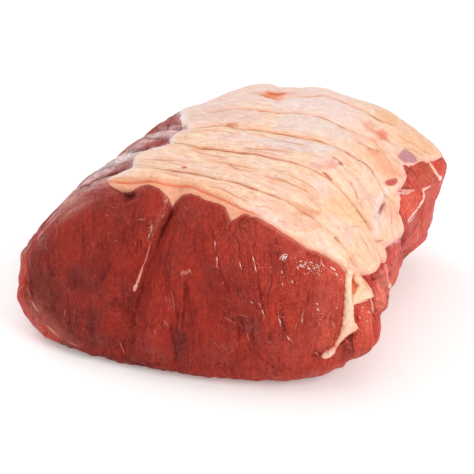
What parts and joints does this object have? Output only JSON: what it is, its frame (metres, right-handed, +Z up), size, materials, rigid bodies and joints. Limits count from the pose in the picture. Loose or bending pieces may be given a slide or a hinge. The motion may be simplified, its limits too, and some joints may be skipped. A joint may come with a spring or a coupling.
{
  "type": "raw beef roasting joint",
  "caption": "Boned and rolled raw beef roasting joint lying fat side up, with a cut lean face, a creased fat cap and a seam of fat at one corner.",
  "frame": {"origin": "middle of the bounding box's footprint, at the flat face the joint rests on", "axes": "+Z up, +Y along the rolled joint from the near cut end to the far cut end, +X to the right seen from the near cut end"},
  "size_m": [0.2054, 0.1816, 0.1139],
  "materials": {
    "raw_lean": "moist raw beef muscle, deep red with darker and paler fibres",
    "raw_fat": "soft cream to pink beef fat with a satin surface"
  },
  "bodies": {
    "root": {"lean": "raw_lean", "fat_cap": "raw_fat"}
  },
  "joints": []
}
